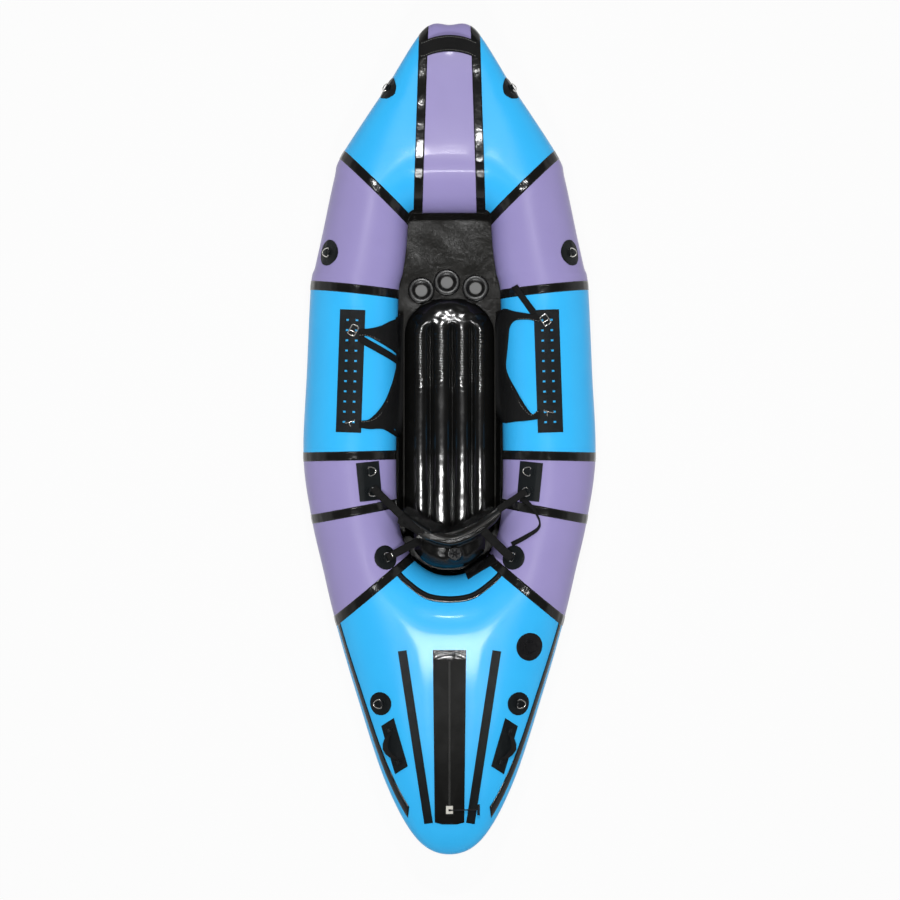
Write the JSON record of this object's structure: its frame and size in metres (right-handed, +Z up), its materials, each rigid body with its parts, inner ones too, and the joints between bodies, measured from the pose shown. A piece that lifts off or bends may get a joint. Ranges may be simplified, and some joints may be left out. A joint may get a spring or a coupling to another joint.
{
  "type": "packraft",
  "caption": "One-person inflatable packraft with tapered bow and stern, cargo zip in the stern, seat mat, tilting backrest, thigh straps and lashing rings.",
  "frame": {"origin": "on the ground under the middle of the boat's length and width", "axes": "+Y to the bow, +Z up, +X to the paddler's right; left in a node name is -X"},
  "size_m": [0.9434, 2.65, 0.3382],
  "materials": {
    "hull_fabric": "sky blue coated nylon, slightly glossy",
    "hull_insert": "light purple coated nylon, slightly glossy",
    "seam_tape": "black welded seam tape, satin",
    "floor_fabric": "black coated floor fabric, satin",
    "seat_fabric": "black coated nylon, glossy and wrinkled",
    "patch_fabric": "black patch fabric, satin",
    "webbing": "black woven webbing, matt",
    "ring_steel": "stainless steel wire, polished by use",
    "buckle_steel": "stainless steel plate, satin",
    "valve_plastic": "black moulded plastic",
    "zip_tape": "dark coated zip tape, satin",
    "slider_plastic": "pale moulded plastic",
    "puller_cord": "black cord with a black moulded toggle"
  },
  "bodies": {
    "hull": {"bow_centre_panel": "hull_insert", "bow_side_panel_left": "hull_fabric", "bow_side_panel_right": "hull_fabric", "front_tube_panel_left": "hull_insert", "front_tube_panel_right": "hull_insert", "mid_tube_panel_left": "hull_fabric", "mid_tube_panel_right": "hull_fabric", "rear_tube_panel_left": "hull_insert", "rear_tube_panel_right": "hull_insert", "stern_panel": "hull_fabric", "seam_tape_left": "seam_tape", "seam_tape_right": "seam_tape", "floor_sheet": "floor_fabric", "seat_mat": "seat_fabric", "bow_handle": "webbing", "bow_ring_left_patch": "patch_fabric", "bow_ring_right_patch": "patch_fabric", "front_ring_left_patch": "patch_fabric", "front_ring_right_patch": "patch_fabric", "rear_ring_left_patch": "patch_fabric", "rear_ring_right_patch": "patch_fabric", "stern_ring_left_patch": "patch_fabric", "stern_ring_right_patch": "patch_fabric", "backrest_ring_left_patch": "patch_fabric", "backrest_ring_right_patch": "patch_fabric", "ladder_patch_left": "patch_fabric", "ladder_patch_right": "patch_fabric", "thigh_buckle_front_left": "buckle_steel", "thigh_buckle_front_right": "buckle_steel", "thigh_buckle_rear_left": "buckle_steel", "thigh_buckle_rear_right": "buckle_steel", "deck_strip_left": "patch_fabric", "deck_strip_right": "patch_fabric", "deck_handle_left_patch": "patch_fabric", "deck_handle_right_patch": "patch_fabric", "cargo_zip": "zip_tape", "hull_valve_base": "valve_plastic"},
    "backrest": {"backrest_cushion": "seat_fabric", "backrest_strap_left": "webbing", "backrest_strap_right": "webbing"},
    "backrest_cap": {"backrest_valve_cap": "valve_plastic"},
    "hull_cap": {"hull_valve_cap": "valve_plastic"},
    "slider": {"zip_slider": "slider_plastic"},
    "puller": {"zip_puller": "puller_cord"},
    "left_thigh_strap": {"thigh_strap_left": "webbing"},
    "right_thigh_strap": {"thigh_strap_right": "webbing"},
    "left_deck_handle": {"deck_handle_left": "webbing"},
    "right_deck_handle": {"deck_handle_right": "webbing"},
    "left_bow_ring": {"bow_ring_left_ring": "ring_steel"},
    "right_bow_ring": {"bow_ring_right_ring": "ring_steel"},
    "left_front_ring": {"front_ring_left_ring": "ring_steel"},
    "right_front_ring": {"front_ring_right_ring": "ring_steel"},
    "left_rear_ring": {"rear_ring_left_ring": "ring_steel"},
    "right_rear_ring": {"rear_ring_right_ring": "ring_steel"},
    "left_stern_ring": {"stern_ring_left_ring": "ring_steel"},
    "right_stern_ring": {"stern_ring_right_ring": "ring_steel"},
    "left_backrest_ring_1": {"backrest_ring_left_1_ring": "ring_steel"},
    "left_backrest_ring_2": {"backrest_ring_left_2_ring": "ring_steel"},
    "right_backrest_ring_1": {"backrest_ring_right_1_ring": "ring_steel"},
    "right_backrest_ring_2": {"backrest_ring_right_2_ring": "ring_steel"}
  },
  "joints": [
    {"name": "backrest_tilt", "type": "hinge", "parent": "hull", "child": "backrest", "pos_m": [0, -0.26, 0.08], "axis": [-1, 0, 0], "range_deg": [0, 35], "deforming": ["backrest_strap_left", "backrest_strap_right"]},
    {"name": "backrest_cap_turn", "type": "hinge", "parent": "backrest", "child": "backrest_cap", "pos_m": [0.01692, -0.36173, 0.2638], "axis": [0, 0, 1], "range_deg": [0, 180]},
    {"name": "hull_cap_turn", "type": "hinge", "parent": "hull", "child": "hull_cap", "pos_m": [0.25851, -0.65896, 0.28167], "axis": [0.347, -0.0641, 0.9357], "range_deg": [0, 180]},
    {"name": "zip_slide", "type": "hinge", "parent": "hull", "child": "slider", "pos_m": [0, -0.82687, -7.28243], "axis": [-1, 0, 0], "range_deg": [0, 3.4]},
    {"name": "puller_swing", "type": "hinge", "parent": "slider", "child": "puller", "pos_m": [0, -1.17734, 0.30411], "axis": [0, -0.9989, -0.0462], "range_deg": [0, 160]},
    {"name": "left_thigh_strap_swing", "type": "hinge", "parent": "hull", "child": "left_thigh_strap", "pos_m": [-0.29001, 0.3502, 0.3016], "axis": [-0.0353, -0.9994, 0.0002], "range_deg": [0, 75]},
    {"name": "right_thigh_strap_swing", "type": "hinge", "parent": "hull", "child": "right_thigh_strap", "pos_m": [0.28886, 0.38268, 0.3016], "axis": [-0.0352, 0.9994, -0.0002], "range_deg": [0, 75]},
    {"name": "left_deck_handle_swing", "type": "hinge", "parent": "hull", "child": "left_deck_handle", "pos_m": [-0.17782, -0.9756, 0.28485], "axis": [-0.2828, 0.959, -0.0172], "range_deg": [0, 140]},
    {"name": "right_deck_handle_swing", "type": "hinge", "parent": "hull", "child": "right_deck_handle", "pos_m": [0.17782, -0.9756, 0.28485], "axis": [-0.2828, -0.959, 0.0172], "range_deg": [0, 140]},
    {"name": "left_bow_ring_swing", "type": "hinge", "parent": "hull", "child": "left_bow_ring", "pos_m": [-0.19979, 1.12673, 0.27658], "axis": [0.3611, 0.9169, -0.1704], "range_deg": [0, 150]},
    {"name": "right_bow_ring_swing", "type": "hinge", "parent": "hull", "child": "right_bow_ring", "pos_m": [0.19979, 1.12673, 0.27658], "axis": [0.3611, -0.9169, 0.1704], "range_deg": [0, 150]},
    {"name": "left_front_ring_swing", "type": "hinge", "parent": "hull", "child": "left_front_ring", "pos_m": [-0.38627, 0.60079, 0.2501], "axis": [0.0999, 0.9912, -0.0871], "range_deg": [0, 150]},
    {"name": "right_front_ring_swing", "type": "hinge", "parent": "hull", "child": "right_front_ring", "pos_m": [0.38627, 0.60079, 0.2501], "axis": [0.0999, -0.9912, 0.0871], "range_deg": [0, 150]},
    {"name": "left_rear_ring_swing", "type": "hinge", "parent": "hull", "child": "left_rear_ring", "pos_m": [-0.20584, -0.37466, 0.28138], "axis": [0.343, -0.9393, 0.002], "range_deg": [-25, 90]},
    {"name": "right_rear_ring_swing", "type": "hinge", "parent": "hull", "child": "right_rear_ring", "pos_m": [0.20584, -0.37466, 0.28138], "axis": [0.343, 0.9393, -0.002], "range_deg": [-25, 90]},
    {"name": "left_stern_ring_swing", "type": "hinge", "parent": "hull", "child": "left_stern_ring", "pos_m": [-0.21741, -0.83952, 0.27788], "axis": [-0.1739, 0.9848, 0.0005], "range_deg": [0, 150]},
    {"name": "right_stern_ring_swing", "type": "hinge", "parent": "hull", "child": "right_stern_ring", "pos_m": [0.21741, -0.83952, 0.27788], "axis": [-0.1739, -0.9848, -0.0005], "range_deg": [0, 150]},
    {"name": "left_backrest_ring_1_swing", "type": "hinge", "parent": "hull", "child": "left_backrest_ring_1", "pos_m": [-0.25915, -0.09992, 0.2851], "axis": [0.0986, -0.995, -0.0132], "range_deg": [0, 150]},
    {"name": "right_backrest_ring_1_swing", "type": "hinge", "parent": "hull", "child": "right_backrest_ring_1", "pos_m": [0.25915, -0.09992, 0.2851], "axis": [0.0986, 0.995, 0.0132], "range_deg": [0, 150]},
    {"name": "left_backrest_ring_2_swing", "type": "hinge", "parent": "hull", "child": "left_backrest_ring_2", "pos_m": [-0.25304, -0.16163, 0.28409], "axis": [-0.3394, -0.9234, 0.1794], "range_deg": [-25, 90]},
    {"name": "right_backrest_ring_2_swing", "type": "hinge", "parent": "hull", "child": "right_backrest_ring_2", "pos_m": [0.25304, -0.16163, 0.28409], "axis": [-0.3394, 0.9234, -0.1794], "range_deg": [-25, 90]}
  ]
}
